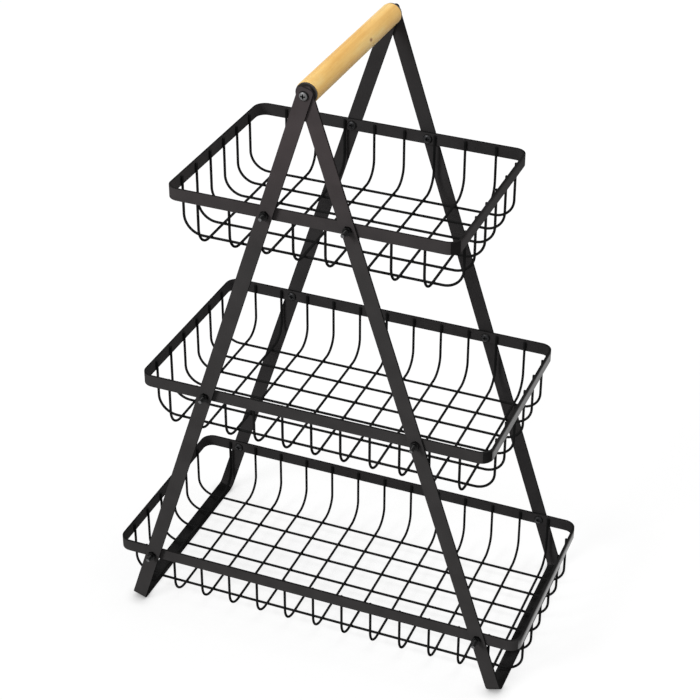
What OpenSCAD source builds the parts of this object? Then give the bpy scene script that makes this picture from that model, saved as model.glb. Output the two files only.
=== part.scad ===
// Three tier wire basket stand with a wooden carrying handle.
// Two flat bar frames, each bent to a U, lean against each other and cross at the handle.
// Three welded wire baskets hang between them on small bolts, the longest one at the bottom.
// X runs along the baskets, Y from front to back, Z up. The origin is on the ground, below the middle.

/* [Baskets] */
// Depth of every basket from front to back, over its rim
basket_depth = 183; // [160:1:210]
// Length of the top basket over its rim
top_length = 256; // [220:1:280]
// Length of the middle basket over its rim
middle_length = 324; // [290:1:350]
// Length of the bottom basket over its rim
bottom_length = 392; // [370:1:430]
// Height of every basket, from the rim's top edge to the underside of its floor
basket_height = 56; // [40:0.5:65]

/* [Tiers] */
// Height from one rim to the next
tier_spacing = 191; // [160:0.5:200]
// Height of the bottom basket's floor above the ground
ground_gap = 6.5; // [6:0.5:20]
// Height of the handle's centre line above the top rim
handle_rise = 106; // [80:1:120]

/* [Rims] */
// Height of the flat bar that makes each rim
rim_height = 11; // [9:0.5:14]
// Thickness of the rim bar
rim_thickness = 2; // [1.5:0.25:3]
// Outer radius of the rim's bent corners
rim_corner_r = 11; // [6:1:16]

/* [Wires] */
// Wire diameter
wire_d = 2.3; // [1.5:0.1:2.5]
// Radius of the bends between wall and floor, at the wire's centre
wire_bend_r = 17.5; // [6:0.5:20]
// Depth of the cut wire ends below the rim's top edge
wire_end_drop = 1; // [0:0.1:2]
// Number of wires across the top basket
top_cross_count = 8; // [5:1:8]
// Number of wires across the middle basket
middle_cross_count = 11; // [7:1:11]
// Number of wires across the bottom basket
bottom_cross_count = 13; // [9:1:13]
// Number of wires along each basket
long_count = 6; // [3:1:6]

/* [Frames] */
// Width of the flat bar that makes both frames
bar_width = 13; // [10:0.5:14]
// Thickness of the frame bar
bar_thickness = 2; // [1.5:0.25:3]
// Outer radius of the bends at the feet
foot_bend_r = 6; // [4:0.5:14]
// Length of each leg past the centre of the handle's bolt
tip_overhang = 6.5; // [5:0.5:9]
// Radius of the rounded corners at the legs' top ends
tip_corner_r = 3; // [1:0.5:5]
// Distance from the bottom rim's ends to its bolts, which sets how far the frames lean
bolt_inset = 37.5; // [20:0.5:60]

/* [Handle] */
// Diameter of the round wooden handle
handle_d = 19; // [16:0.5:26]
// Chamfer on the handle's ends
handle_chamfer = 0.6; // [0.2:0.1:1.5]
// Diameter of the disc between the handle and the frame bars
disc_d = 18; // [12:0.5:24]
// Thickness of the disc
disc_thickness = 2; // [1:0.25:3]

/* [Fasteners] */
// Bolt diameter
bolt_d = 4; // [3:0.5:5]
// Bolt length under the head
bolt_length = 15; // [13:1:20]
// Bolt head diameter
head_d = 8; // [7:0.25:9]
// Bolt head height
head_h = 2.6; // [2:0.1:3.2]
// Nut size across the flats
nut_across_flats = 7; // [6:0.25:8.5]
// Nut height
nut_h = 3.2; // [2.4:0.1:4]
// Outer diameter of the spacer washers
spacer_d = 9; // [8:0.25:10]

/* [Hidden] */
$fn = 64;

// Colours, dark coated steel and pale oiled wood
steel_color = [0.12, 0.12, 0.12];
wire_color = [0.08, 0.08, 0.08];
fastener_color = [0.22, 0.22, 0.22];
disc_color = [0.05, 0.05, 0.05];
wood_color = [0.88, 0.72, 0.47];

// Fits and overruns
hole_clearance = 0.15;
thread_clearance = 0.05;
wire_clearance = 0.4;
overrun = 1;

// Bolt head and tip details
head_dome_h = 1.3;
recess_length = 4.4;
recess_width = 1;
recess_depth = 1.5;
tip_chamfer = 0.5;
handle_hole_spare = 2;
nut_turn_step = 23;

// Heights, from the ground up, and the lean of both frames
bottom_rim_z = ground_gap + basket_height;
pivot_z = bottom_rim_z + 2 * tier_spacing + handle_rise;
lean_angle = atan((bottom_length / 2 - bolt_inset) / (pivot_z - bottom_rim_z + rim_height / 2));
leg_length = (pivot_z - bar_width / 2 * sin(lean_angle)) / cos(lean_angle);

// Fastener sizes worked out from the driving ones
bolt_r = bolt_d / 2;
hole_r = bolt_r + hole_clearance;
thread_hole_r = bolt_r + thread_clearance;
head_r = head_d / 2;
dome_r = (head_r * head_r + head_dome_h * head_dome_h) / (2 * head_dome_h);
nut_corner_r = nut_across_flats / 2 / cos(30);
nut_face_r = nut_across_flats / 2;
nut_chamfer_h = (nut_corner_r - nut_face_r) * tan(30);

// Frame sizes: one bar thickness of play lets one frame stand in front of the other
frame_half_depth = (basket_depth + 3 * bar_thickness) / 2;
handle_r = handle_d / 2;
handle_length = basket_depth - 2 * disc_thickness;

// Wire sizes shared by all three baskets
wire_r = wire_d / 2;
wall_inset = rim_thickness + wire_r;
long_floor_drop = basket_height - wire_r;
cross_floor_drop = long_floor_drop - wire_d;

// The three tiers, top first
TIERS = [0, 1, 2];
tier_names = ["top", "middle", "bottom"];
tier_lengths = [top_length, middle_length, bottom_length];
tier_cross_counts = [top_cross_count, middle_cross_count, bottom_cross_count];
tier_rim_z = [bottom_rim_z + 2 * tier_spacing, bottom_rim_z + tier_spacing, bottom_rim_z];

// Left and right, front and back
SIDES = [-1, 1];

// Centre height of a tier's bolts, half way up the rim
function bolt_z(t) = tier_rim_z[t] - rim_height / 2;

// Distance of a tier's bolts from the middle, on the centre line of the leaning bar
function bolt_x(t) = (pivot_z - bolt_z(t)) * tan(lean_angle);

// Gap between rim and bar: the left frame stands off in front, the right frame at the back
function stand_off(side, end) = side == end ? bar_thickness : 0;

// Even spacing of the i-th of count wires over a rim of the given size
function wire_place(i, count, size) = (i - (count + 1) / 2) * size / (count + 1);

// Moves a wire at x aside where it would meet a bolt head of its tier
function beside_bolt(x, t) =
    let (room = head_r + wire_r + wire_clearance, past = abs(x) - bolt_x(t))
    abs(past) < room ? sign(x) * (bolt_x(t) + (past < 0 ? -room : room)) : x;

// Turns +Z towards the front or the back
module face_outward(end) {
    rotate([-90 * end, 0, 0])
        children();
}

// Outline of a rectangle with round corners
module rounded_rectangle(length, depth, corner_r) {
    square([length - 2 * corner_r, depth], center = true);
    square([length, depth - 2 * corner_r], center = true);
    for (sx = SIDES, sy = SIDES)
        translate([sx * (length / 2 - corner_r), sy * (depth / 2 - corner_r)])
            circle(r = corner_r);
}

// Flat bar bent to a closed rim, with a bolt hole where each leg crosses it
module rim(t) {
    color(steel_color)
    difference() {
        translate([0, 0, tier_rim_z[t] - rim_height])
            linear_extrude(height = rim_height)
                difference() {
                    rounded_rectangle(tier_lengths[t], basket_depth, rim_corner_r);
                    rounded_rectangle(
                        tier_lengths[t] - 2 * rim_thickness,
                        basket_depth - 2 * rim_thickness,
                        rim_corner_r - rim_thickness
                    );
                }
        for (side = SIDES)
            translate([side * bolt_x(t), 0, bolt_z(t)])
                rotate([90, 0, 0])
                    cylinder(r = hole_r, h = basket_depth + 2 * overrun, center = true);
    }
}

// One quarter bend of wire in the XZ plane, from straight down to the given side
module wire_bend(side) {
    rotate([90, 0, 0])
        rotate([0, 0, side > 0 ? -90 : 180])
            rotate_extrude(angle = 90)
                translate([wire_bend_r, 0])
                    circle(r = wire_r);
}

// A U of wire in the XZ plane, up both walls and along the floor
module u_wire(span, floor_z, top_z) {
    bend_x = span / 2 - wire_bend_r;
    bend_z = floor_z + wire_bend_r;
    for (side = SIDES) {
        translate([side * span / 2, 0, bend_z])
            cylinder(r = wire_r, h = top_z - bend_z);
        translate([side * bend_x, 0, bend_z])
            wire_bend(side);
    }
    translate([0, 0, floor_z])
        rotate([0, 90, 0])
            cylinder(r = wire_r, h = 2 * bend_x, center = true);
}

// One wire from front to back, on top of the long wires
module cross_wire(t, i) {
    color(wire_color)
    translate([beside_bolt(wire_place(i, tier_cross_counts[t], tier_lengths[t]), t), 0, 0])
        rotate([0, 0, 90])
            u_wire(
                basket_depth - 2 * wall_inset,
                tier_rim_z[t] - cross_floor_drop,
                tier_rim_z[t] - wire_end_drop
            );
}

// One wire from left to right, under the cross wires
module long_wire(t, i) {
    color(wire_color)
    translate([0, wire_place(i, long_count, basket_depth), 0])
        u_wire(
            tier_lengths[t] - 2 * wall_inset,
            tier_rim_z[t] - long_floor_drop,
            tier_rim_z[t] - wire_end_drop
        );
}

// Outline of one leg from the bend up to its top end, which has rounded corners
module leg_outline() {
    tip_half_width = bar_width / 2 - tip_corner_r;
    translate([-bar_width / 2, foot_bend_r - leg_length])
        square([bar_width, tip_overhang - tip_corner_r + leg_length - foot_bend_r]);
    translate([-tip_half_width, 0])
        square([2 * tip_half_width, tip_overhang]);
    for (side = SIDES)
        translate([side * tip_half_width, tip_overhang - tip_corner_r])
            circle(r = tip_corner_r);
}

// One leg, upright, from the bend to the handle
module leg(end) {
    translate([0, end * (frame_half_depth - bar_thickness / 2), 0])
        rotate([90, 0, 0])
            linear_extrude(height = bar_thickness, center = true)
                leg_outline();
}

// The bend between a leg and the foot bar
module foot_bend(end) {
    translate([0, end * (frame_half_depth - foot_bend_r), foot_bend_r - leg_length])
        rotate([0, 90, 0])
            rotate([0, 0, end > 0 ? 0 : -90])
                rotate_extrude(angle = 90)
                    translate([foot_bend_r - bar_thickness, -bar_width / 2])
                        square([bar_thickness, bar_width]);
}

// One flat bar bent to a U: front leg, foot bar and back leg, leaning inwards to the handle
module frame(side) {
    color(steel_color)
    translate([0, side * bar_thickness / 2, pivot_z])
        rotate([0, -side * lean_angle, 0])
            difference() {
                union() {
                    for (end = SIDES) {
                        leg(end);
                        foot_bend(end);
                    }
                    translate([-bar_width / 2, foot_bend_r - frame_half_depth, -leg_length])
                        cube([bar_width, 2 * (frame_half_depth - foot_bend_r), bar_thickness]);
                }
                rotate([90, 0, 0])
                    cylinder(r = hole_r, h = 2 * (frame_half_depth + overrun), center = true);
                for (t = TIERS)
                    translate([0, 0, (bolt_z(t) - pivot_z) / cos(lean_angle)])
                        rotate([90, 0, 0])
                            cylinder(r = hole_r, h = 2 * (frame_half_depth + overrun), center = true);
            }
}

module left_frame() {
    frame(-1);
}

module right_frame() {
    frame(1);
}

// Turned wooden dowel with a drilled hole in each end
module handle() {
    half = handle_length / 2;
    hole_depth = bolt_length - 2 * bar_thickness - disc_thickness + handle_hole_spare;
    color(wood_color)
    translate([0, 0, pivot_z])
        rotate([90, 0, 0])
            difference() {
                rotate_extrude()
                    polygon([
                        [0, -half],
                        [handle_r - handle_chamfer, -half],
                        [handle_r, handle_chamfer - half],
                        [handle_r, half - handle_chamfer],
                        [handle_r - handle_chamfer, half],
                        [0, half]
                    ]);
                for (end = SIDES)
                    translate([0, 0, end * (half + overrun - (hole_depth + overrun) / 2)])
                        cylinder(r = thread_hole_r, h = hole_depth + overrun, center = true);
            }
}

// Thin round discs between the handle's ends and the frame bars
module handle_discs() {
    color(disc_color)
    for (end = SIDES)
        translate([0, end * (handle_length + disc_thickness) / 2, pivot_z])
            rotate([90, 0, 0])
                difference() {
                    cylinder(r = disc_d / 2, h = disc_thickness, center = true);
                    cylinder(r = hole_r, h = disc_thickness + 2 * overrun, center = true);
                }
}

// Pan head bolt along +Z, with the underside of its head at zero and a cross recess
module pan_head_bolt() {
    difference() {
        intersection() {
            translate([0, 0, -head_h])
                cylinder(r = head_r, h = head_h);
            translate([0, 0, dome_r - head_h])
                sphere(r = dome_r);
        }
        for (turn = [0, 90])
            rotate([0, 0, turn])
                translate([0, 0, recess_depth - head_h - (recess_depth + overrun) / 2])
                    cube([recess_length, recess_width, recess_depth + overrun], center = true);
    }
    rotate_extrude()
        polygon([
            [0, 0],
            [bolt_r, 0],
            [bolt_r, bolt_length - tip_chamfer],
            [bolt_r - tip_chamfer, bolt_length],
            [0, bolt_length]
        ]);
}

// Hexagon nut along +Z from zero, with chamfered corners
module hex_nut() {
    difference() {
        intersection() {
            cylinder(r = nut_corner_r, h = nut_h, $fn = 6);
            rotate_extrude()
                polygon([
                    [0, 0],
                    [nut_face_r, 0],
                    [nut_corner_r, nut_chamfer_h],
                    [nut_corner_r, nut_h - nut_chamfer_h],
                    [nut_face_r, nut_h],
                    [0, nut_h]
                ]);
        }
        translate([0, 0, -overrun])
            cylinder(r = thread_hole_r, h = nut_h + 2 * overrun);
    }
}

// Twelve bolts from inside the rims, and one at each end of the handle
module pan_head_bolts() {
    color(fastener_color) {
        for (t = TIERS, side = SIDES, end = SIDES)
            translate([side * bolt_x(t), end * (basket_depth / 2 - rim_thickness), bolt_z(t)])
                face_outward(end)
                    pan_head_bolt();
        for (end = SIDES)
            translate([0, end * (basket_depth / 2 + 2 * bar_thickness), pivot_z])
                face_outward(-end)
                    pan_head_bolt();
    }
}

// A nut outside each leg, each one turned by a different angle as tightened
module hex_nuts() {
    color(fastener_color)
    for (t = TIERS, side = SIDES, end = SIDES)
        translate([
            side * bolt_x(t),
            end * (basket_depth / 2 + stand_off(side, end) + bar_thickness),
            bolt_z(t)
        ])
            face_outward(end)
                rotate([0, 0, nut_turn_step * (4 * t + side + end)])
                    hex_nut();
}

// Washers that fill the gap where a frame stands off from the rims
module spacer_washers() {
    color(fastener_color)
    for (t = TIERS, side = SIDES)
        translate([side * bolt_x(t), side * (basket_depth + bar_thickness) / 2, bolt_z(t)])
            rotate([90, 0, 0])
                difference() {
                    cylinder(r = spacer_d / 2, h = bar_thickness, center = true);
                    cylinder(r = hole_r, h = bar_thickness + 2 * overrun, center = true);
                }
}

for (t = TIERS)
    rim(t);
for (t = TIERS, i = [1 : tier_cross_counts[t]])
    cross_wire(t, i);
for (t = TIERS, i = [1 : long_count])
    long_wire(t, i);
left_frame();
right_frame();
handle();
handle_discs();
pan_head_bolts();
hex_nuts();
spacer_washers();
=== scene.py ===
"""A three tier wire basket stand: coated flat bars, welded wires, bolts and a wooden carrying handle."""

import math

import bmesh
import bpy
from mathutils import Matrix, Vector

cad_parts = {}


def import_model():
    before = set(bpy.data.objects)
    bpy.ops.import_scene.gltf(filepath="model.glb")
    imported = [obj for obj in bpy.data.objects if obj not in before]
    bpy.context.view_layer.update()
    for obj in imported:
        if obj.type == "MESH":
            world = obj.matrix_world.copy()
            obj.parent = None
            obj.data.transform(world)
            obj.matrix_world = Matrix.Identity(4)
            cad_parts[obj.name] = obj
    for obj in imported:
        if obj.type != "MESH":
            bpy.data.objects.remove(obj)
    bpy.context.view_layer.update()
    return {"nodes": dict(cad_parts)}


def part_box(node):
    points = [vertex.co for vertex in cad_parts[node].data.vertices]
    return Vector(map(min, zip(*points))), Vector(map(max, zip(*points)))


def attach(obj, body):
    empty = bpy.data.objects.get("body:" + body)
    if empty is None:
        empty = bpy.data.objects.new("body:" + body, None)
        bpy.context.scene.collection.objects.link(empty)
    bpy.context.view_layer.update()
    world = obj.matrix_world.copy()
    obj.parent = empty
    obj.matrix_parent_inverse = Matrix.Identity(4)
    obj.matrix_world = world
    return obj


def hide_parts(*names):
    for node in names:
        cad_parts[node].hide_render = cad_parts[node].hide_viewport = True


# Metres in one millimetre
MM = 0.001

# The photograph's camera: where it stands, where it looks, and how the picture is cropped
IMAGE_SIZE_PX = 700
CAMERA_PLACE_MM = (516.75, -1253.43, 1124.20)
CAMERA_AZIMUTH = math.radians(19.400)
CAMERA_ELEVATION = math.radians(28.616)
CAMERA_ROLL = math.radians(1.564)
FOCAL_LENGTH_PX = 1800.1
OPTICAL_CENTRE_PX = (433.84, 231.59)
SENSOR_WIDTH_MM = 36

# The baskets and rims, from the top down
TIERS = ("top", "middle", "bottom")

# Rounding of the cut and rolled edges
BAR_ROUNDING_MM = 0.5
DISC_ROUNDING_MM = 0.3
WIRE_ROUNDING_MM = 0.7
NUT_ROUNDING_MM = 0.15
WOOD_ROUNDING_MM = 0.35
ROUNDING_STEPS = 3

# Edges sharper than the first are rounded, and edges flatter than the second are taken out
SHARP_EDGE = math.radians(30)
FLAT_EDGE = math.radians(0.2)

# Points closer than this are one point
SAME_POINT_MM = 0.002

# Solids are sorted by their places, rounded to this many decimals of a metre
PLACE_DECIMALS = 5

# A face looks along an axis when its normal goes further than this along it
FACING_SHARE = 0.7

# The corners of a square round its middle, in order
SQUARE = ((-1, -1), (1, -1), (1, 1), (-1, 1))

# Pan head bolts. The dome's outline has its points at these shares of the head's radius
BOLT_D_MM = 4
HEAD_R_MM = 4
HEAD_H_MM = 2.6
HEAD_DOME_H_MM = 1.3
HEAD_ROUNDING_MM = 0.25
DOME_SHARES = (0, 0.25, 0.5, 0.7, 0.85, 0.94)
LATHE_STEPS = 48

# The cross recess in the bolt heads, and how near to its floor a face counts as a part of it
RECESS_WIDTH_MM = 1.2
RECESS_LENGTH_MM = 4.7
RECESS_DEPTH_MM = 1.5
RECESS_TAPER_SHARE = 0.55
RECESS_FLOOR_MM = 0.1

# The thread. Its profile is points of (share of the pitch, share of the depth)
THREAD_PITCH_MM = 0.7
THREAD_DEPTH_MM = 0.38
THREAD_PROFILE = ((0.0, 0.0), (0.38, 1.0), (0.5, 1.0), (0.88, 0.0))
THREAD_STEPS = 24
TIP_CHAMFER_MM = 0.5

# Radii of the weld beads: at a crossing, and at the rim, which are across the wire, away from the rim and up
CROSSING_BEAD_MM = (1.4, 1.4, 0.8)
RIM_BEAD_MM = (1.6, 0.5, 3.6)
BEAD_RINGS = 8
BEAD_SEGMENTS = 14

# Fine bumps: cells to the metre, strength, and height in millimetres
ORANGE_PEEL = (1500, 0.35, 0.12)
STEEL_GRAIN = (1800, 0.2, 0.08)
DISC_GRAIN = (2600, 0.3, 0.06)

# Between which levels of a noise a surface goes from dark to light, or from dark over light to worn
PATCH_PLACES = (0.3, 0.7)
WORN_PLACES = (0.35, 0.62, 0.8)

# Darker and lighter clouds of the coat: on the bars' wide faces; on their edges, narrow sides and tops,
# painted darker as shade; and on the wires
FACE_COLORS = ((0.052, 0.0495, 0.0495), (0.062, 0.059, 0.059))
SHADED_EDGE_COLORS = ((0.012, 0.0118, 0.0118), (0.024, 0.0235, 0.0235))
WIRE_COLORS = ((0.014, 0.014, 0.014), (0.020, 0.020, 0.020))

# The coat's clouds, with their scale in cells to the metre, and how rough it is
CLOUDS = {"scale": 55, "detail": 3.0}
COAT_ROUGHNESS = 0.45

# Gloss on the coat of the rims' right end faces
GLOSS_ROUGHNESS = 0.25
GLOSS_IOR = 1.8

# How glossy each rim's right end face is, and how far below its top edge that starts and is full
END_GLOSS = {"top": (0.05, 1.0, 3.0), "middle": (0.6, 1.0, 3.7), "bottom": (0.95, 1.0, 7.0)}

# How squarely a face has to look to the right to be that end face
END_FACING_SHARES = {"top": 0.96, "middle": 0.96, "bottom": 0.84}

# The front bend before it gets the edges' painted shade between these two shares. The bottom rim has no such
# bend
DARK_BEND_SHARES = {"top": (0.35, 0.96), "middle": (0.35, 0.96), "bottom": (1.0, 1.0)}

# How far in from a rim's right end its bend and end face reach
END_REACH_MM = 11

# Painted shade: the coat is a little blacker on the back bars: where that starts and is full
BACK_SHADE_Y_MM = (0, 85)
BACK_SHADE_TINT = (0.76, 0.76, 0.77, 1.0)

# Painted light: the coat is lighter and a little warmer towards the top front, near the handle's front end:
# which way that grows, where it starts and is full
LIT_WAY = (0.0, -0.6, 1.0)
LIT_RANGE_MM = (455, 560)
PAINTED_LIGHT_TINT = (1.37, 1.22, 1.25, 1.0)

# Material numbers on the bars: the darker coat of painted shade, and the glossy end face
SHADED_EDGE_COAT = 1
END_COAT = 2

# Material numbers on the bolts, in the order of the steels below
BLACK_STEEL = 0
HANDLE_HEAD_HIGHLIGHT = 1
RIM_HEAD_HIGHLIGHT = 2
TIP_HIGHLIGHT = 3

# The steels of the fasteners, each with dark, lighter and worn patches: black steel, and lighter copies of it
# that paint highlights on the heads' tops and the shanks' tips
STEEL_COLORS = {
    "black_steel": ((0.005, 0.005, 0.005), (0.008, 0.008, 0.008), (0.015, 0.015, 0.015)),
    "handle_head_highlight": ((0.12, 0.12, 0.122), (0.18, 0.18, 0.183), (0.3, 0.3, 0.305)),
    "rim_head_highlight": ((0.014, 0.014, 0.015), (0.03, 0.03, 0.032), (0.12, 0.12, 0.125)),
    "tip_highlight": ((0.11, 0.11, 0.112), (0.17, 0.17, 0.173), (0.28, 0.28, 0.285)),
}
STEEL_PATCHES = {"scale": 420, "detail": 4.0, "roughness": 0.6}
STEEL_METALLIC = 0.75

# How rough the steel is where it is dark and where it is worn, and the levels of the noise for these
STEEL_ROUGHNESS = (0.46, 0.3)
STEEL_ROUGHNESS_PLACES = (0.3, 0.8)

# A face of a bolt's head can get a painted highlight when its middle lies within this share of the head's
# radius; outside it, it stays black as painted shade
HEAD_TOP_SHARE = 0.87

# The black discs: darker and lighter patches, and how many of them go to the metre
DISC_COLORS = ((0.010, 0.008, 0.007), (0.018, 0.014, 0.012))
DISC_PATCH_CELLS = 160
DISC_ROUGHNESS = 0.6

# The wood, from its deepest colour to its palest, as (place on the ramp, colour)
WOOD_COLORS = ((0.34, (0.87, 0.515, 0.135)), (0.5, (0.945, 0.60, 0.185)), (0.64, (0.97, 0.70, 0.275)))
WOOD_SPECULAR = 0.35

# How rough the wood is in its darker fibres and in its paler ones
WOOD_ROUGHNESS = (0.55, 0.42)

# Its blotches and fibres are long ones: cells to the metre across, along and up
BLOTCH_CELLS = (60.0, 13.0, 60.0)
BLOTCHES = {"scale": 1.0, "detail": 3.0, "roughness": 0.55}
FIBRE_CELLS = (1100.0, 28.0, 1100.0)
FIBRES = {"scale": 1.0, "detail": 3.0, "roughness": 0.6}
FIBRE_BUMP = {"strength": 0.25, "height_mm": 0.08}

# Its rings: how wavy they are, how they are turned, and how much slower they change lengthwise
RINGS = {"Scale": 70.0, "Distortion": 2.2, "Detail": 2.0, "Detail_Scale": 30.0}
RING_TURN = (0.0, 0.6, 0.02)
RING_STRETCH = (1.0, 0.12, 1.0)

# Tints of the rings and fibres, as (place on the ramp, colour), and how strongly they show
RING_TINTS = ((0.0, (0.92, 0.87, 0.78)), (0.75, (1.0, 1.0, 1.0)))
FIBRE_TINTS = ((0.3, (0.92, 0.88, 0.80)), (0.6, (1.0, 1.0, 1.0)))
GRAIN_SHARE = 0.8

# The wood is paler towards the handle's ends: how far from the middle that starts and is full, and how much
PALE_ENDS_MM = (20, 75)
PALE_SHIFT = (-0.07, 0.06)

# The small knot on the handle. Its outline wobbles, and it is longer along the handle than across
KNOT_Y_MM = 21
KNOT_ANGLE = math.radians(70)
KNOT_HEART_R_MM = 0.7
KNOT_R_MM = 2.6
KNOT_STRETCH = (1.0, 0.62, 1.0)
KNOT_WOBBLE_MM = 0.7
KNOT_WOBBLE_CELLS = 900
KNOT_SHARE = 0.95
KNOT_COLOR = (0.22, 0.06, 0.012, 1.0)

# Half the side of the studio floor, and the grey that throws light back at the object
FLOOR_HALF_M = 6.0
FLOOR_BOUNCE_COLOR = (0.35, 0.35, 0.35, 1.0)

# To the eye the floor is a darker grey that takes the shadows, and a glow that makes it white on the whole.
# The glow grows towards the back left, because the lamps light that side less
FLOOR_SHADED_COLOR = (0.25, 0.25, 0.25, 1.0)
FLOOR_GLOW = (0.740, 0.839)
FLOOR_GLOW_WAY = (-0.27, 1.0, 0.0)
FLOOR_GLOW_REACH_M = 2.0

# Painted contact shadow: the floor's glow darkens close to the feet: how near, how far from the middle that
# starts and is full, how much
CONTACT_REACH_MM = 12
CONTACT_Y_MM = (78, 88)
CONTACT_POWER = 0.7
CONTACT_SAMPLES = 8

# The white surroundings, as light. To the eye they are full white
WHITE = (1.0, 1.0, 1.0, 1.0)
WORLD_LIGHT = 0.336

# Square lamps: place and side in metres, and power in watts. They point at the middle of the stand
LAMPS = {"key_light": ((-2.35, -3.75, 2.95), 1.8, 140), "top_light": ((1.6, 0.45, 4.6), 3.0, 100)}
LAMP_TARGET_M = (0, 0, 0.28)

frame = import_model()
nodes = frame["nodes"]


def node_names(*parts):
    """The CAD nodes whose names hold one of these parts, in order."""
    return [name for name in sorted(nodes) if any(part in name for part in parts)]


def metres(sizes_mm):
    """Sizes in millimetres as metres."""
    return [size * MM for size in sizes_mm]


def new_object(name, data):
    """A new object in the scene with this mesh, lamp or camera."""
    made = bpy.data.objects.new(name, data)
    bpy.context.scene.collection.objects.link(made)
    return made


# Materials


class Shader:
    """A small builder for the nodes of one material or world."""

    def __init__(self, owner, output="ShaderNodeOutputMaterial"):
        owner.use_nodes = True
        self.owner = owner
        self.output = output
        self.tree = owner.node_tree
        self.tree.nodes.clear()

    def add(self, kind, settings=(), **inputs):
        """A new node. Settings are its properties, and inputs are values or other nodes' sockets.

        An input goes by its name, with _ for a space, or by its number, as _0.
        """
        made = self.tree.nodes.new(kind)
        for key, value in dict(settings).items():
            setattr(made, key, value)
        for key, value in inputs.items():
            number = key[1:]
            socket = made.inputs[int(number)] if number.isdigit() else made.inputs[key.replace("_", " ")]
            if isinstance(value, bpy.types.NodeSocket):
                self.tree.links.new(value, socket)
            else:
                socket.default_value = value
        return made

    def finish(self, shader):
        """Joins the last shader to the output."""
        self.add(self.output, Surface=shader)
        return self.owner

    def object_point(self):
        """The point on the object, in metres in the part's own frame."""
        return self.add("ShaderNodeTexCoord").outputs["Object"]

    def axes(self, point):
        """The coordinates of a point, by the names X, Y and Z."""
        return self.add("ShaderNodeSeparateXYZ", Vector=point).outputs

    def along(self, point, way):
        """How far a point lies along a direction, times the direction's length."""
        made = self.add("ShaderNodeVectorMath", {"operation": "DOT_PRODUCT"}, _0=point, _1=way)
        return made.outputs["Value"]

    def stretched(self, point, scale, turn=(0.0, 0.0, 0.0)):
        """A point moved to a turned space with another scale on each axis."""
        return self.add("ShaderNodeMapping", Vector=point, Rotation=turn, Scale=scale).outputs["Vector"]

    def calculated(self, operation, *values):
        """The result of a sum, a product and the like."""
        inputs = {f"_{index}": value for index, value in enumerate(values)}
        return self.add("ShaderNodeMath", {"operation": operation}, **inputs).outputs[0]

    def noise(self, point, scale, detail=2.0, roughness=0.5):
        """Fractal noise from 0 to 1 with this many cells to the metre."""
        made = self.add("ShaderNodeTexNoise", Vector=point, Scale=scale, Detail=detail, Roughness=roughness)
        return made.outputs["Fac"]

    def ramp(self, factor, *stops):
        """A colour ramp over (place, colour) stops."""
        made = self.add("ShaderNodeValToRGB", Fac=factor)
        elements = made.color_ramp.elements
        while len(elements) < len(stops):
            elements.new(1.0)
        for element, (place, color) in zip(elements, stops):
            element.position = place
            element.color = (*color, 1.0)
        return made.outputs["Color"]

    def remap(self, value, low, high, to_low=0.0, to_high=1.0):
        """A value moved from one range to another and held inside it."""
        made = self.add("ShaderNodeMapRange", _0=value, _1=low, _2=high, _3=to_low, _4=to_high)
        return made.outputs["Result"]

    def mixed(self, share, color, other, blend="MIX"):
        """A colour with a share of another mixed in, or tinted by it when the blend is MULTIPLY."""
        settings = {"data_type": "RGBA", "blend_type": blend}
        return self.add("ShaderNodeMix", settings, _0=share, _6=color, _7=other).outputs[2]

    def bump(self, height, strength, height_mm):
        """A bump of this height at most."""
        made = self.add("ShaderNodeBump", Height=height, Strength=strength, Distance=height_mm * MM)
        return made.outputs["Normal"]

    def grain(self, point, cells, strength, height_mm):
        """A fine bump with this many cells to the metre."""
        return self.bump(self.noise(point, cells), strength, height_mm)

    def surface(self, **inputs):
        """The surface of a solid, with its looks as inputs."""
        return self.add("ShaderNodeBsdfPrincipled", **inputs).outputs["BSDF"]

    def seen(self):
        """1 where the eye sees the thing itself, in a mirror too, and 0 where the thing only gives light."""
        path = self.add("ShaderNodeLightPath").outputs
        mirrored = self.calculated("MAXIMUM", path["Is Glossy Ray"], path["Is Transmission Ray"])
        return self.calculated("MAXIMUM", path["Is Camera Ray"], mirrored)


def powder_coat(name, dark, light, gloss=None):
    """Matte black powder coat: two near blacks in soft clouds under a fine orange peel, painted lighter
    towards the top front as painted light, and blacker on the back bars as painted shade.

    Gloss is its full level, and the heights at which it starts and is full.
    """
    s = Shader(bpy.data.materials.new(name))
    point = s.object_point()
    place = s.axes(point)
    clouds = s.noise(point, **CLOUDS)
    cloudy = s.ramp(clouds, *zip(PATCH_PLACES, (dark, light)))
    lit_share = s.remap(s.along(point, LIT_WAY), *metres(LIT_RANGE_MM))
    painted_lit = s.mixed(lit_share, cloudy, PAINTED_LIGHT_TINT, "MULTIPLY")
    back_shade = s.remap(place["Y"], *metres(BACK_SHADE_Y_MM))
    inputs = {
        "Base_Color": s.mixed(back_shade, painted_lit, BACK_SHADE_TINT, "MULTIPLY"),
        "Roughness": COAT_ROUGHNESS,
        "Specular_IOR_Level": 0.0,
        "Normal": s.grain(point, *ORANGE_PEEL),
    }
    if gloss:
        level, start_z, full_z = gloss
        inputs["Coat_Weight"] = s.remap(place["Z"], start_z, full_z, 0.0, level)
        inputs["Coat_Roughness"] = GLOSS_ROUGHNESS
        inputs["Coat_IOR"] = GLOSS_IOR
    return s.finish(s.surface(**inputs))


def blackened_steel(name, dark, light, worn):
    """Black oxide on the bolts and nuts, worn brighter and smoother in fine patches."""
    s = Shader(bpy.data.materials.new(name))
    point = s.object_point()
    patches = s.noise(point, **STEEL_PATCHES)
    return s.finish(
        s.surface(
            Base_Color=s.ramp(patches, *zip(WORN_PLACES, (dark, light, worn))),
            Metallic=STEEL_METALLIC,
            Roughness=s.remap(patches, *STEEL_ROUGHNESS_PLACES, *STEEL_ROUGHNESS),
            Normal=s.grain(point, *STEEL_GRAIN),
        )
    )


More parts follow.
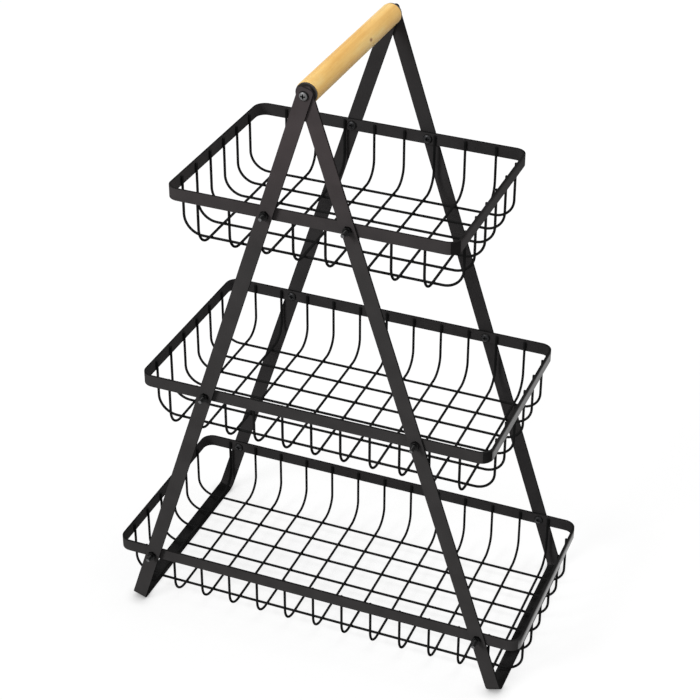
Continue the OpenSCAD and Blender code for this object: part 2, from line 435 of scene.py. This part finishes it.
def black_disc():
    """Matte black plastic with a faint moulded grain."""
    s = Shader(bpy.data.materials.new("black_disc"))
    point = s.object_point()
    patches = s.noise(point, DISC_PATCH_CELLS)
    return s.finish(
        s.surface(
            Base_Color=s.ramp(patches, *zip(PATCH_PLACES, DISC_COLORS)),
            Roughness=DISC_ROUGHNESS,
            Normal=s.grain(point, *DISC_GRAIN),
        )
    )


def wood_rings(s, point):
    """The year rings, cut lengthwise, from 0 to 1."""
    settings = {"wave_type": "BANDS", "bands_direction": "X", "wave_profile": "SIN"}
    lengthwise = s.stretched(point, RING_STRETCH, RING_TURN)
    return s.add("ShaderNodeTexWave", settings, Vector=lengthwise, **RINGS).outputs["Fac"]


def wood_knot(s, point, knot_place):
    """How much of the knot shows, from 0 to nearly 1 in its heart."""
    offset = s.add("ShaderNodeVectorMath", {"operation": "SUBTRACT"}, _0=point, _1=knot_place).outputs[0]
    away = s.add(
        "ShaderNodeVectorMath", {"operation": "LENGTH"}, _0=s.stretched(offset, KNOT_STRETCH)
    ).outputs["Value"]
    wobble = s.calculated("MULTIPLY_ADD", s.noise(point, KNOT_WOBBLE_CELLS), KNOT_WOBBLE_MM * MM, away)
    return s.remap(wobble, KNOT_HEART_R_MM * MM, KNOT_R_MM * MM, to_low=KNOT_SHARE, to_high=0.0)


def handle_wood(knot_place):
    """Pale oiled wood: rings cut lengthwise, fine fibres along the handle, and one small dark knot."""
    s = Shader(bpy.data.materials.new("handle_wood"))
    point = s.object_point()
    from_middle = s.calculated("ABSOLUTE", s.axes(point)["Y"])
    pale = s.remap(from_middle, *metres(PALE_ENDS_MM), *PALE_SHIFT)
    blotches = s.noise(s.stretched(point, BLOTCH_CELLS), **BLOTCHES)
    fibres = s.noise(s.stretched(point, FIBRE_CELLS), **FIBRES)
    base = s.ramp(s.calculated("ADD", blotches, pale), *WOOD_COLORS)
    ring_tint = s.ramp(wood_rings(s, point), *RING_TINTS)
    ringed = s.mixed(GRAIN_SHARE, base, ring_tint, "MULTIPLY")
    grained = s.mixed(GRAIN_SHARE, ringed, s.ramp(fibres, *FIBRE_TINTS), "MULTIPLY")
    return s.finish(
        s.surface(
            Base_Color=s.mixed(wood_knot(s, point, knot_place), grained, KNOT_COLOR),
            Roughness=s.remap(fibres, *PATCH_PLACES, *WOOD_ROUGHNESS),
            Specular_IOR_Level=WOOD_SPECULAR,
            Normal=s.bump(fibres, **FIBRE_BUMP),
        )
    )


# Mesh helpers


def make_piece(name, bm, material, replaced=()):
    """Turns a bmesh into a piece of the object that rides on the frame."""
    mesh = bpy.data.meshes.new(name)
    bm.normal_update()
    bm.to_mesh(mesh)
    bm.free()
    mesh.materials.append(material)
    piece = new_object(name, mesh)
    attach(piece, "root")
    if replaced:
        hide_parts(*replaced)
    return piece


def soft_normals(piece):
    """Smooth shading that keeps the large flat faces flat."""
    for polygon in piece.data.polygons:
        polygon.use_smooth = True
    weighted = piece.modifiers.new("flat_faces", "WEIGHTED_NORMAL")
    weighted.keep_sharp = True
    weighted.weight = 100


def joined_mesh(node):
    """A bmesh of a CAD node with its split points joined and its flat faces whole."""
    bm = bmesh.new()
    bm.from_mesh(nodes[node].data)
    bmesh.ops.remove_doubles(bm, verts=bm.verts, dist=SAME_POINT_MM * MM)
    bmesh.ops.dissolve_limit(bm, angle_limit=FLAT_EDGE, verts=bm.verts, edges=bm.edges)
    return bm


def rounded_piece(node, rounding_mm, material, edge_index=-1):
    """A copy of a CAD node with its sharp edges rounded, which stands for the node.

    The rounding keeps its faces' material, or gets the one with this index.
    """
    bm = joined_mesh(node)
    sharp = [edge for edge in bm.edges if edge.is_manifold and edge.calc_face_angle(0) > SHARP_EDGE]
    bmesh.ops.bevel(
        bm,
        geom=sharp,
        offset=rounding_mm * MM,
        offset_type="OFFSET",
        segments=ROUNDING_STEPS,
        profile=0.5,
        affect="EDGES",
        clamp_overlap=True,
        material=edge_index,
    )
    piece = make_piece(node + "_finished", bm, material, [node])
    soft_normals(piece)
    return piece


def solid_boxes(node):
    """(lowest, highest corner) of each separate solid of a CAD node, in order of place."""
    bm = joined_mesh(node)
    left = set(bm.verts)
    boxes = []
    while left:
        found = [left.pop()]
        for vert in found:
            for edge in vert.link_edges:
                other = edge.other_vert(vert)
                if other in left:
                    left.remove(other)
                    found.append(other)
        low = Vector([min(v.co[k] for v in found) for k in range(3)])
        high = Vector([max(v.co[k] for v in found) for k in range(3)])
        boxes.append((low, high))
    bm.free()
    return sorted(boxes, key=lambda box: tuple(round(x, PLACE_DECIMALS) for x in box[0]))


def circle(bm, radius, height, steps):
    """New points spread evenly round Z."""
    turns = [2 * math.pi * k / steps for k in range(steps)]
    return [bm.verts.new((radius * math.cos(a), radius * math.sin(a), height)) for a in turns]


def lathe(bm, outline):
    """Turns an outline of (radius, height) points round Z. It starts and ends on the axis."""
    rings = []
    for radius, height in outline:
        if radius == 0:
            rings.append([bm.verts.new((0, 0, height))])
        else:
            rings.append(circle(bm, radius, height, LATHE_STEPS))
    for low, high in zip(rings, rings[1:]):
        for k in range(LATHE_STEPS):
            after = (k + 1) % LATHE_STEPS
            corners = [low[k % len(low)], low[after % len(low)], high[after % len(high)], high[k % len(high)]]
            bm.faces.new(list(dict.fromkeys(corners)))


# Pieces


def bars(face_coat, shaded_edge_coat):
    """The rims and both bent frames, with a darker coat of painted shade on their narrow sides, tops and
    rounded edges.
    """
    for node in node_names("_rim", "_frame"):
        piece = rounded_piece(node, BAR_ROUNDING_MM, face_coat, edge_index=SHADED_EDGE_COAT)
        piece.data.materials.append(shaded_edge_coat)
        narrow = Vector((0, 0, 1)) if node.endswith("_rim") else Vector((1, 0, 0))
        for polygon in piece.data.polygons:
            # Narrow sides and upward faces get the darker coat: painted shade
            if max(abs(polygon.normal.dot(narrow)), polygon.normal.z) > FACING_SHARE:
                polygon.material_index = SHADED_EDGE_COAT


def end_faces():
    """The right end face of each rim, which is glossier than the rest, and the bend before it, which gets the
    edges' painted shade.
    """
    for tier, (level, start_mm, full_mm) in END_GLOSS.items():
        _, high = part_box(tier + "_rim")
        piece = bpy.data.objects[tier + "_rim_finished"]
        gloss = (level, high.z - start_mm * MM, high.z - full_mm * MM)
        piece.data.materials.append(powder_coat(tier + "_end_coat", *FACE_COLORS, gloss))
        bend_low, bend_high = DARK_BEND_SHARES[tier]
        for polygon in piece.data.polygons:
            facing = polygon.normal.x
            if polygon.center.x < high.x - END_REACH_MM * MM or abs(polygon.normal.z) > FACING_SHARE:
                continue
            if facing > END_FACING_SHARES[tier]:
                polygon.material_index = END_COAT
            # The bend before the end face: painted shade
            elif bend_low < facing < bend_high and polygon.normal.y < 0:
                polygon.material_index = SHADED_EDGE_COAT


def wires(coat):
    """Every bent wire, with rounded cut ends."""
    for node in node_names("_wire_"):
        rounded_piece(node, WIRE_ROUNDING_MM, coat)


def add_bead(bm, centre, radii_mm):
    """One round weld bead."""
    bmesh.ops.create_uvsphere(
        bm,
        u_segments=BEAD_SEGMENTS,
        v_segments=BEAD_RINGS,
        radius=1,
        matrix=Matrix.Translation(centre) @ Matrix.Diagonal((*metres(radii_mm), 1)),
    )


def welds(tier, coat):
    """The weld beads of one basket: where its wires cross, and where they meet the rim."""
    bm = bmesh.new()
    rim_low, rim_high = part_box(tier + "_rim")
    cross = [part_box(name) for name in node_names(tier + "_cross_wire_")]
    along = [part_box(name) for name in node_names(tier + "_long_wire_")]
    wire_r = (cross[0][1].x - cross[0][0].x) / 2
    # Halfway between the two layers of wires
    seam_z = (cross[0][0].z + along[0][0].z) / 2 + wire_r
    rim_z = (rim_low.z + rim_high.z) / 2
    across_mm, out_mm, up_mm = RIM_BEAD_MM
    for low, high in cross:
        x = (low.x + high.x) / 2
        for other_low, other_high in along:
            add_bead(bm, (x, (other_low.y + other_high.y) / 2, seam_z), CROSSING_BEAD_MM)
        for y in (low.y, high.y):
            add_bead(bm, (x, y, rim_z), (across_mm, out_mm, up_mm))
    for low, high in along:
        y = (low.y + high.y) / 2
        for x in (low.x, high.x):
            add_bead(bm, (x, y, rim_z), (out_mm, across_mm, up_mm))
    soft_normals(make_piece(tier + "_welds", bm, coat))


def head_outline():
    """Half section of a pan head, from the middle of its top to the middle of its underside at zero."""
    dome_r = (HEAD_R_MM**2 + HEAD_DOME_H_MM**2) / (2 * HEAD_DOME_H_MM)
    outline = []
    for share in DOME_SHARES:
        radius = HEAD_R_MM * share
        outline.append((radius, dome_r - HEAD_H_MM - math.sqrt(dome_r**2 - radius**2)))
    rim_z = HEAD_DOME_H_MM - HEAD_H_MM
    outline.append((HEAD_R_MM, rim_z + HEAD_ROUNDING_MM))
    outline.append((HEAD_R_MM, -HEAD_ROUNDING_MM))
    outline.append((HEAD_R_MM - HEAD_ROUNDING_MM, 0))
    outline.append((0, 0))
    return [metres(point) for point in outline]


def recess_cutter():
    """A cross that narrows towards its floor, as a screwdriver leaves it in a pan head."""
    bm = bmesh.new()
    floor_z = RECESS_DEPTH_MM - HEAD_H_MM
    outside_z = -2 * HEAD_H_MM
    for turn in (0, math.pi / 2):
        corners = []
        for z, share in ((outside_z, 1.0), (-HEAD_H_MM, 1.0), (floor_z, RECESS_TAPER_SHARE)):
            half_x = RECESS_LENGTH_MM / 2 * share
            half_y = RECESS_WIDTH_MM / 2 * (1 + share) / 2
            for sx, sy in SQUARE:
                point = Matrix.Rotation(turn, 3, "Z") @ Vector((sx * half_x, sy * half_y, z))
                corners.append(bm.verts.new(point * MM))
        bm.faces.new(corners[3::-1])
        bm.faces.new(corners[8:])
        for ring, next_ring in ((corners[:4], corners[4:8]), (corners[4:8], corners[8:])):
            for k in range(4):
                after = (k + 1) % 4
                bm.faces.new([ring[k], ring[after], next_ring[after], next_ring[k]])
    return bm


def scratch_object(name, bm):
    """A bmesh as an object that is only used to make another one."""
    mesh = bpy.data.meshes.new(name)
    bmesh.ops.recalc_face_normals(bm, faces=bm.faces)
    bm.to_mesh(mesh)
    bm.free()
    return new_object(name, mesh)


def pan_head_mesh():
    """A pan head with its cross recess, as mesh data: a painted highlight on top, and black as painted shade
    in the recess and round it.
    """
    bm = bmesh.new()
    lathe(bm, head_outline())
    head = scratch_object("head_blank", bm)
    cutter = scratch_object("head_cutter", recess_cutter())
    cut = head.modifiers.new("recess", "BOOLEAN")
    cut.operation = "DIFFERENCE"
    cut.solver = "EXACT"
    cut.use_self = True
    cut.object = cutter
    bpy.context.view_layer.update()
    mesh = bpy.data.meshes.new_from_object(head.evaluated_get(bpy.context.evaluated_depsgraph_get()))
    for scratch in (head, cutter):
        bpy.data.objects.remove(scratch)
    for polygon in mesh.polygons:
        centre = polygon.center / MM
        from_axis = centre.xy.length
        inside = from_axis < RECESS_LENGTH_MM / 2 and -HEAD_H_MM < centre.z < -HEAD_DOME_H_MM / 2
        on_wall = abs(polygon.normal.z) < FACING_SHARE
        on_floor = centre.z > RECESS_DEPTH_MM - HEAD_H_MM - RECESS_FLOOR_MM
        in_recess = inside and (on_wall or on_floor)
        beside = from_axis > HEAD_TOP_SHARE * HEAD_R_MM
        polygon.material_index = BLACK_STEEL if in_recess or beside else HANDLE_HEAD_HIGHLIGHT
    return mesh


def add_thread(bm, length):
    """A threaded shank along Z from zero: one helical ridge round a core, with a chamfered tip."""
    pitch = THREAD_PITCH_MM * MM
    crest_r = BOLT_D_MM / 2 * MM
    root_r = crest_r - THREAD_DEPTH_MM * MM
    chamfer = TIP_CHAMFER_MM * MM
    columns = []
    for k in range(math.ceil(length / pitch * THREAD_STEPS) + THREAD_STEPS + 1):
        angle = 2 * math.pi * k / THREAD_STEPS
        start = pitch * (k / THREAD_STEPS - 1)
        column = []
        for place, rise in THREAD_PROFILE:
            z = min(max(start + pitch * place, 0), length)
            limit = min(crest_r, crest_r - chamfer + (length - z))
            radius = min(root_r + (crest_r - root_r) * rise, limit)
            column.append(bm.verts.new((radius * math.cos(angle), radius * math.sin(angle), z)))
        columns.append(column)
    pairs = list(zip(columns, columns[1:]))
    for before, after in pairs:
        for k in range(len(THREAD_PROFILE) - 1):
            bm.faces.new([before[k], after[k], after[k + 1], before[k + 1]])
    for (before, after), (over, over_after) in zip(pairs, pairs[THREAD_STEPS:]):
        bm.faces.new([before[-1], after[-1], over_after[0], over[0]])
    # The flat ends, with a painted highlight. The one under the head doesn't show
    root = circle(bm, root_r, 0, THREAD_STEPS)
    tip = circle(bm, crest_r - chamfer, length, THREAD_STEPS)
    for ring in (root[::-1], tip):
        bm.faces.new(ring).material_index = TIP_HIGHLIGHT


def bolts(steels):
    """Pan head bolts with threaded shanks, one for each bolt in the frame.

    The rims' bolts have their heads inside the baskets, and the handle's two have theirs outside.
    """
    head = pan_head_mesh()
    bm = bmesh.new()
    for low, high in solid_boxes("pan_head_bolts"):
        middle = (low + high) / 2
        outward = 1 if middle.y > 0 else -1
        at_handle = abs(middle.x) < BOLT_D_MM * MM
        tip = -outward if at_handle else outward
        under_head_y = low.y + HEAD_H_MM * MM if tip > 0 else high.y - HEAD_H_MM * MM
        turn = Matrix.Rotation(-tip * math.pi / 2, 4, "X")
        part = bmesh.new()
        part.from_mesh(head)
        if not at_handle:
            for face in part.faces:
                if face.material_index == HANDLE_HEAD_HIGHLIGHT:
                    face.material_index = RIM_HEAD_HIGHLIGHT
        add_thread(part, high.y - low.y - HEAD_H_MM * MM)
        place = Matrix.Translation((middle.x, under_head_y, middle.z)) @ turn
        bmesh.ops.transform(part, matrix=place, verts=part.verts)
        scratch = bpy.data.meshes.new("bolt_part")
        part.to_mesh(scratch)
        part.free()
        bm.from_mesh(scratch)
        bpy.data.meshes.remove(scratch)
    bpy.data.meshes.remove(head)
    bmesh.ops.remove_doubles(bm, verts=bm.verts, dist=SAME_POINT_MM * MM)
    piece = make_piece("bolts_finished", bm, steels[BLACK_STEEL], ["pan_head_bolts"])
    for steel in (steels[HANDLE_HEAD_HIGHLIGHT], steels[RIM_HEAD_HIGHLIGHT], steels[TIP_HIGHLIGHT]):
        piece.data.materials.append(steel)
    for polygon in piece.data.polygons:
        polygon.use_smooth = True
    piece.data.set_sharp_from_angle(angle=SHARP_EDGE)


def fasteners():
    """Black bolts, nuts and washers: only the tops of the heads and the cut tips are painted brighter, as
    highlights.
    """
    steels = [blackened_steel(name, *colors) for name, colors in STEEL_COLORS.items()]
    bolts(steels)
    for node in ("hex_nuts", "spacer_washers"):
        rounded_piece(node, NUT_ROUNDING_MM, steels[BLACK_STEEL])


def grip():
    """The wooden handle and the black discs at its ends."""
    low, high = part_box("handle")
    radius = (high.z - low.z) / 2
    middle_z = (high.z + low.z) / 2
    knot_place = (radius * math.sin(KNOT_ANGLE), KNOT_Y_MM * MM, middle_z + radius * math.cos(KNOT_ANGLE))
    rounded_piece("handle", WOOD_ROUNDING_MM, handle_wood(knot_place))
    rounded_piece("handle_discs", DISC_ROUNDING_MM, black_disc())


# Studio


def floor_material():
    """White to the eye with the object's soft shadows on it, and plain grey as a source of light."""
    s = Shader(bpy.data.materials.new("studio_floor"))
    point = s.object_point()
    glow_way = s.along(point, FLOOR_GLOW_WAY)
    even = s.remap(glow_way, -FLOOR_GLOW_REACH_M, FLOOR_GLOW_REACH_M, *FLOOR_GLOW)
    from_middle = s.calculated("ABSOLUTE", s.axes(point)["Y"])
    near_feet = s.remap(from_middle, *metres(CONTACT_Y_MM), 0.0, CONTACT_POWER)
    openness = s.add(
        "ShaderNodeAmbientOcclusion", {"samples": CONTACT_SAMPLES}, Distance=CONTACT_REACH_MM * MM
    ).outputs["AO"]
    strength = s.calculated("MULTIPLY", even, s.calculated("POWER", openness, near_feet))
    glow = s.add("ShaderNodeEmission", Color=WHITE, Strength=strength).outputs["Emission"]
    shaded = s.add("ShaderNodeBsdfDiffuse", Color=FLOOR_SHADED_COLOR).outputs["BSDF"]
    white = s.add("ShaderNodeAddShader", _0=glow, _1=shaded).outputs["Shader"]
    grey = s.add("ShaderNodeBsdfDiffuse", Color=FLOOR_BOUNCE_COLOR).outputs["BSDF"]
    return s.finish(s.add("ShaderNodeMixShader", _0=s.seen(), _1=grey, _2=white).outputs["Shader"])


def floor():
    """A large square floor at the feet."""
    mesh = bpy.data.meshes.new("studio_floor")
    corners = [(sx * FLOOR_HALF_M, sy * FLOOR_HALF_M, 0) for sx, sy in SQUARE]
    mesh.from_pydata(corners, [], [(0, 1, 2, 3)])
    mesh.materials.append(floor_material())
    plane = new_object("studio_floor", mesh)


def world():
    """White all round: full white to the camera and in reflections, softer as light."""
    made = bpy.data.worlds.new("studio_world")
    bpy.context.scene.world = made
    s = Shader(made, "ShaderNodeOutputWorld")
    strength = s.remap(s.seen(), 0.0, 1.0, to_low=WORLD_LIGHT, to_high=1.0)
    s.finish(s.add("ShaderNodeBackground", Color=WHITE, Strength=strength).outputs["Background"])


def lamps():
    """Large soft lamps that point at the stand."""
    for name, (place, side, power) in LAMPS.items():
        data = bpy.data.lights.new(name, "AREA")
        data.shape = "SQUARE"
        data.size = side
        data.energy = power
        lamp = new_object(name, data)
        lamp.location = place
        lamp.rotation_euler = (Vector(LAMP_TARGET_M) - Vector(place)).to_track_quat("-Z", "Y").to_euler()


def camera():
    """The photograph's camera."""
    azimuth, elevation = CAMERA_AZIMUTH, CAMERA_ELEVATION
    forward = Vector(
        (
            -math.sin(azimuth) * math.cos(elevation),
            math.cos(azimuth) * math.cos(elevation),
            -math.sin(elevation),
        )
    )
    level_right = Vector((math.cos(azimuth), math.sin(azimuth), 0))
    level_up = level_right.cross(forward)
    right = math.cos(CAMERA_ROLL) * level_right + math.sin(CAMERA_ROLL) * level_up
    up = math.cos(CAMERA_ROLL) * level_up - math.sin(CAMERA_ROLL) * level_right
    data = bpy.data.cameras.new("camera")
    data.sensor_width = SENSOR_WIDTH_MM
    data.lens = FOCAL_LENGTH_PX / IMAGE_SIZE_PX * SENSOR_WIDTH_MM
    data.shift_x = 0.5 - OPTICAL_CENTRE_PX[0] / IMAGE_SIZE_PX
    data.shift_y = OPTICAL_CENTRE_PX[1] / IMAGE_SIZE_PX - 0.5
    made = new_object("camera", data)
    turn = Matrix((right, up, -forward)).transposed().to_4x4()
    made.matrix_world = Matrix.Translation(Vector(CAMERA_PLACE_MM) * MM) @ turn
    bpy.context.scene.camera = made


def studio():
    """Floor, light and camera."""
    floor()
    world()
    lamps()
    camera()
    bpy.context.scene.view_settings.view_transform = "Standard"


face_coat_material = powder_coat("coated_steel", *FACE_COLORS)
shaded_edge_material = powder_coat("painted_shade_edge_coat", *SHADED_EDGE_COLORS)
wire_coat_material = powder_coat("coated_wire", *WIRE_COLORS)

bars(face_coat_material, shaded_edge_material)
end_faces()
wires(wire_coat_material)
for tier_name in TIERS:
    welds(tier_name, wire_coat_material)
fasteners()
grip()
studio()
